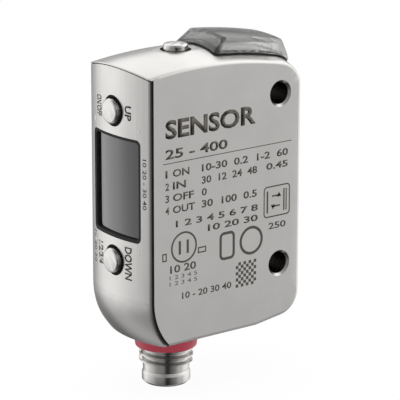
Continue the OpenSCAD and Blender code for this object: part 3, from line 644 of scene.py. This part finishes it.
bpy.ops.object.select_all(action="DESELECT")
radius, level = PROFILE[0]
bpy.ops.mesh.primitive_circle_add(vertices=SIDES, radius=radius * mm, location=on_axis(level))
shell = bpy.context.object
shell.name = shell.data.name = "threaded_connector"
bpy.ops.object.transform_apply(location=True)
bpy.ops.object.mode_set(mode="EDIT")
bpy.ops.mesh.select_all(action="SELECT")
for next_radius, next_level in PROFILE[1:]:
    move = (0, 0, (next_level - level) * mm)
    bpy.ops.mesh.extrude_region_move(TRANSFORM_OT_translate={"value": move})
    grow = next_radius / radius
    bpy.ops.transform.resize(value=(grow, grow, 1), center_override=on_axis(next_level))
    radius, level = next_radius, next_level
bpy.ops.mesh.select_all(action="SELECT")
bpy.ops.mesh.remove_doubles(threshold=MERGE)
bpy.ops.mesh.normals_make_consistent(inside=False)
bpy.ops.object.mode_set(mode="OBJECT")
soften = shell.modifiers.new("soft edges", "BEVEL")
soften.width = 0.05 * mm
soften.segments = 3
soften.limit_method = "ANGLE"
soften.angle_limit = math.radians(20)
bpy.ops.object.modifier_apply(modifier="soft edges")
print("turned body has", len(shell.data.polygons), "faces")

# %% [markdown]
# ## The ridge
# The thread could be cut into the body by a boolean, which is slow and leaves ragged edges. Here a ridge
# runs round the body. Its section is a plane squeezed to a trapezium, which a Screw modifier winds from
# the middle of the groove to over the seal's lower edge, climbing by the pitch at each turn. Two bisect
# cuts end it at the seal and at the groove, as a lathe's runout does. Where it starts decides where its
# crests lie, and in the photograph one lies at the picture's left, a millimetre below the seal.

# %% Wind the ridge
PITCH, TURNS, STEPS = 1.0, 4, 80
HALF_FOOT, HALF_CREST = 0.42, 0.14
# How deep the ridge's foot lies in the body
ROOT = 0.06
left_angle = math.atan2(-back.x, back.y)
start_level = shoulder - 1.05 - 2 * PITCH
bpy.ops.object.select_all(action="DESELECT")
bpy.ops.mesh.primitive_plane_add(size=2)
ridge = bpy.context.object
for corner in ridge.data.vertices:
    outside = corner.co.x > 0
    reach = CREST if outside else NECK - ROOT
    rise = math.copysign(HALF_CREST if outside else HALF_FOOT, corner.co.y)
    corner.co = Vector((reach, 0, rise)) * mm
ridge.data.transform(Matrix.Rotation(left_angle, 4, "Z"))
wind = ridge.modifiers.new("wind", "SCREW")
# A negative angle makes it right-handed, as every standard thread is
wind.axis, wind.angle, wind.screw_offset, wind.iterations = "Z", -2 * math.pi, PITCH * mm, TURNS
wind.steps = wind.render_steps = STEPS
bpy.ops.object.modifier_apply(modifier="wind")
ridge.data.transform(Matrix.Translation(on_axis(start_level)))
bpy.ops.object.mode_set(mode="EDIT")
bpy.ops.mesh.select_all(action="SELECT")
bpy.ops.mesh.remove_doubles(threshold=MERGE)
for cut, beyond in ((shoulder, 1), (GROOVE, -1)):
    bpy.ops.mesh.select_all(action="SELECT")
    bpy.ops.mesh.bisect(plane_co=(0, 0, cut * mm), plane_no=(0, 0, beyond), threshold=MERGE,
                        clear_outer=True, use_fill=True)
bpy.ops.mesh.select_all(action="SELECT")
bpy.ops.mesh.normals_make_consistent(inside=False)
bpy.ops.object.mode_set(mode="OBJECT")
levels = [corner.co.z / mm for corner in ridge.data.vertices]
print("ridge from", round(min(levels), 2), "to", round(max(levels), 2))

# %% [markdown]
# ## One piece of it
# On the real connector the thread and the body are one piece of steel. The two could stay apart, but
# then each would need its own place in the part. So they are joined, and the joined piece stands for
# the CAD connector and takes its finish.

# %% Join the connector
bpy.ops.object.select_all(action="DESELECT")
shell.select_set(True)
ridge.select_set(True)
bpy.context.view_layer.objects.active = shell
bpy.ops.object.join()
shell.data.materials.clear()
shell.data.materials.append(finishes["connector_shell"])
bpy.ops.object.shade_smooth_by_angle(angle=math.radians(24))
weigh = shell.modifiers.new("flat faces first", "WEIGHTED_NORMAL")
weigh.keep_sharp = True
bpy.ops.object.modifier_apply(modifier="flat faces first")
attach(shell, "body")
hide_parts("connector_shell")
print(shell.name, "has", len(shell.data.polygons), "faces")

# %% [markdown]
# ## The finish of a mark
# A laser leaves a thin dark oxide, through which the steel still mirrors the room, only much darker. A
# flat black would be simpler, but it looks like ink. So the mark is a metal too, and stays darker than
# the steel in any light. It is a little brown, and not quite even, since the beam goes over it in passes.

# %% Laser mark
mark = Paint("laser_mark", Metallic=1.0)
passes = mark.noise(mark.place(), 0.25)
mark.set("Base Color", mark.blend(passes, (0.09, 0.082, 0.072), (0.15, 0.138, 0.12)))
mark.set("Roughness", 0.38 + (passes - 0.5) * 0.2)
laser_mark = mark.material
print(laser_mark.name)

# %% [markdown]
# ## Drawing on a sheet
# The sensor's side is marked by a laser, which darkens the steel without any depth. Such marks could be
# an image on the side, but then they blur up close, so here they are real outlines. Each one is drawn
# flat first, in millimetres on a sheet of paper, which is a plain list. Words come first: Blender's own
# letters, turned into a mesh and stretched to the place that they have on the sheet.

# %% Draw words


def letters(sheet, words, x0, x1, base, height, bold=0.0):
    bpy.ops.object.select_all(action="DESELECT")
    bpy.ops.object.text_add()
    made = bpy.context.object
    made.data.body = words
    made.data.offset = bold
    made.data.resolution_u = 3
    bpy.ops.object.convert(target="MESH")
    xs, ys = ([v.co[k] for v in made.data.vertices] for k in (0, 1))
    wide, high = (x1 - x0) / (max(xs) - min(xs)), height / max(ys)
    made.data.transform(Matrix.Translation((x0, base, 0)) @ Matrix.Diagonal((wide, high, 1, 1))
                        @ Matrix.Translation((-min(xs), 0, 0)))
    sheet.append(made)


print("words can be drawn")

# %% [markdown]
# ## Blocks and discs
# The other shapes are planes and circles. An outline could be a curve with a width, but an inset in edit
# mode, with the middle deleted, keeps the outer size exact.

# %% Draw blocks and discs


def put_down(sheet, made, line):
    """Takes out the middle of the selected face, if there is a line width, and ends the edit."""
    if line:
        bpy.ops.mesh.inset(thickness=line)
        bpy.ops.mesh.delete(type="FACE")
    bpy.ops.object.mode_set(mode="OBJECT")
    sheet.append(made)


def block(sheet, x0, y0, x1, y1, line=0.0, round_by=0.0):
    """A filled block between two corners, or with a line width only its outline."""
    bpy.ops.object.select_all(action="DESELECT")
    bpy.ops.mesh.primitive_plane_add(size=1)
    made = bpy.context.object
    made.data.transform(Matrix.Translation(((x0 + x1) / 2, (y0 + y1) / 2, 0))
                        @ Matrix.Diagonal((x1 - x0, y1 - y0, 1, 1)))
    bpy.ops.object.mode_set(mode="EDIT")
    if round_by:
        bpy.ops.mesh.bevel(offset=round_by, segments=4, affect="VERTICES")
        bpy.ops.mesh.select_all(action="SELECT")
    put_down(sheet, made, line)


def disc(sheet, x, y, radius, line=0.0, corners=40, turn=0.0):
    """A filled disc or polygon, or with a line width only its outline."""
    bpy.ops.object.select_all(action="DESELECT")
    bpy.ops.mesh.primitive_circle_add(vertices=corners, radius=radius, fill_type="NGON")
    made = bpy.context.object
    made.data.transform(Matrix.Translation((x, y, 0)) @ Matrix.Rotation(math.radians(turn), 4, "Z"))
    bpy.ops.object.mode_set(mode="EDIT")
    put_down(sheet, made, line)


print("blocks and discs can be drawn")

# %% [markdown]
# ## Printing a sheet
# A sheet's shapes are joined, put on the face and given a hair's thickness. A Shrinkwrap modifier could
# lay them on the steel, but on a crowned face its result depends on the triangles under it. A formula
# that says where each point goes doesn't.

# %% Print a sheet


def print_sheet(sheet, name, onto, thickness):
    """Joins a sheet into one piece, puts every point where onto says and thickens it."""
    bpy.ops.object.select_all(action="DESELECT")
    for made in sheet:
        made.select_set(True)
    bpy.context.view_layer.objects.active = sheet[0]
    bpy.ops.object.join()
    piece = bpy.context.object
    piece.name = piece.data.name = name
    for vertex in piece.data.vertices:
        vertex.co = Vector(onto(vertex.co.x, vertex.co.y)) * mm
    solid = piece.modifiers.new("thickness", "SOLIDIFY")
    solid.thickness, solid.offset = thickness * mm, -1
    bpy.ops.object.modifier_apply(modifier="thickness")
    piece.data.materials.clear()
    piece.data.materials.append(laser_mark)
    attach(piece, "body")
    print(name, "has", len(piece.data.polygons), "faces")


print("sheets can be printed")

# %% [markdown]
# ## The side's words
# The near side carries a large word, a line of figures, a line under them and a table with a row for each
# of the four wires: its number, its use and its values. They could be typed as one text, but then
# Blender's own spacing would place them. Here each word has its own two ends, so that it fills them.

# %% Write on the side
FINE = 0.024
SMALL_HEIGHT, ROW_HEIGHT = 0.95, 1.05
side = []
letters(side, "SENSOR", -20.6, -4.5, 9.1, 2.6, bold=0.035)
letters(side, "25 - 400", -20.6, -9.6, 6.15, 1.35, bold=FINE)
block(side, -21, 5.42, 2.15, 5.54)
# Level; number and its end; use and its end; values and their end
WIRES = ((3.45, "1", -20.25, "ON", -16.4, "10-30  0.2  1-2  60", 1.5),
         (1.65, "2", -19.95, "IN", -17.0, "30  12  24  48", -4.2),
         (-0.1, "3", -19.95, "OFF", -15.6, "0", -13.3),
         (-1.85, "4", -19.95, "OUT", -15.4, "30  100  0.5", -4.2))
for base, number, number_end, use, use_end, values, values_end in WIRES:
    letters(side, number, -20.6, number_end, base, ROW_HEIGHT, bold=FINE)
    letters(side, use, -19.3, use_end, base, ROW_HEIGHT, bold=FINE)
    letters(side, values, -14.2, values_end, base, ROW_HEIGHT, bold=FINE)
letters(side, "0.45", -2.5, 1.5, 1.75, SMALL_HEIGHT, bold=FINE)
letters(side, "1 2 3 4 5 6 7 8", -18.8, -4.0, -3.95, SMALL_HEIGHT, bold=FINE)
letters(side, "10 20 30", -13.1, -4.0, -5.5, SMALL_HEIGHT, bold=FINE)
print("marks", len(side))

# %% [markdown]
# ## The pictogram
# The pictogram is a rounded frame with two arrows and the things that they point at. Each could be typed
# as a symbol, but not every font has them. So an arrow is a bar and a triangle, which is a circle with
# three corners.

# %% Mark the pictogram
THIN = 0.02
block(side, -2.95, -5.5, 1.95, -0.8, line=0.2, round_by=0.6)
for x0, x1 in ((-2.4, -2.1), (0.7, 0.95), (1.15, 1.35)):
    block(side, x0, -4.8, x1, -1.5)
for y, turn, x in ((-2.35, 0, -0.1), (-3.9, 180, -1.2)):
    block(side, -1.4, y - 0.12, 0.1, y + 0.12)
    disc(side, x, y, 0.5, corners=3, turn=turn)
letters(side, "250", -2.0, 1.2, -7.25, SMALL_HEIGHT, bold=THIN)
print("marks", len(side))

# %% [markdown]
# ## The plain shapes
# Under the table stand a ring with two bars, two small frames, a rounded frame, a second ring, more
# figures and a chequered field. The field could be one plane with a checker pattern in its material, but
# as blocks it is of the same kind as the rest. Only every second square is drawn.

# %% Mark the plain shapes
disc(side, -17.36, -7.1, 2.3, line=0.28)
block(side, -18.3, -8.1, -17.9, -6.1)
block(side, -16.9, -8.1, -16.5, -6.1)
block(side, -21.2, -8.7, -20.4, -7.5, line=0.2)
block(side, -14.9, -8.5, -13.4, -7.6, line=0.2)
block(side, -11.0, -10.4, -8.2, -6.2, line=0.42, round_by=0.8)
disc(side, -5.2, -8.3, 2.15, line=0.42)
letters(side, "10 20", -19.8, -15.2, -10.6, 1.1, bold=THIN)
for y in (-11.6, -12.5):
    letters(side, "1 2 3 4 5", -19.9, -15.0, y, 0.6)
letters(side, "10 - 20 30 40", -17.7, -8.8, -14.75, SMALL_HEIGHT, bold=THIN)
SQUARES, SIZE, FIELD_X, FIELD_Y = 8, 0.47, -8.0, -15.0
for row in range(SQUARES):
    for column in range(SQUARES):
        if (row + column) % 2 == 0:
            block(side, FIELD_X + column * SIZE, FIELD_Y + row * SIZE,
                  FIELD_X + (column + 1) * SIZE, FIELD_Y + (row + 1) * SIZE)
print("marks", len(side))

# %% [markdown]
# ## Print the side
# The housing's side is flat, so the sheet's x stays x and its y becomes the height. The marks could lie
# in the very plane of the steel, but then the two would flicker. They stand six thousandths of a
# millimetre over it, which no eye sees, and reach a little below it.

# %% Print the side
SIDE_LIFT, SIDE_THICKNESS = 0.006, 0.02
side_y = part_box("housing")[0].y / mm
print_sheet(side, "side_marks", lambda x, y: (x, side_y - SIDE_LIFT, y), SIDE_THICKNESS)

# %% [markdown]
# ## The rear's marks
# The words on the rear cover run downwards, with their tops towards the near side. The cover is crowned,
# so a flat sheet would sink into it. Here each point is pushed out to the crown, which is an arc across
# the width.

# %% Mark the rear
rear = []
letters(rear, "UP", -13.6, -11.45, 2.7, 1.15, bold=0.03)
letters(rear, "DOWN", 6.9, 11.75, 2.5, 1.35, bold=0.03)
letters(rear, "ON/OFF", -13.95, -10.9, -4.4, 1.4, bold=0.03)
letters(rear, "1/2/3/4", 7.5, 10.9, -4.2, 1.3, bold=0.03)
letters(rear, "10 20 30", 6.4, 11.1, -5.8, 0.8)
letters(rear, "10 20 - 30 40", -6.4, 0.9, 5.85, 0.6, bold=0.01)
# How far the cover bulges in its middle
CROWN = 1.3
REAR_LIFT, REAR_THICKNESS = 0.015, 0.03
half_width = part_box("housing")[1].y / mm
crown_radius = (half_width ** 2 + CROWN ** 2) / (2 * CROWN)
rear_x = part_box("rear_cover")[0].x / mm


def on_crown(x, y):
    return rear_x + crown_radius - math.sqrt(crown_radius ** 2 - y ** 2) - REAR_LIFT, -y, -x


print_sheet(rear, "rear_marks", on_crown, REAR_THICKNESS)
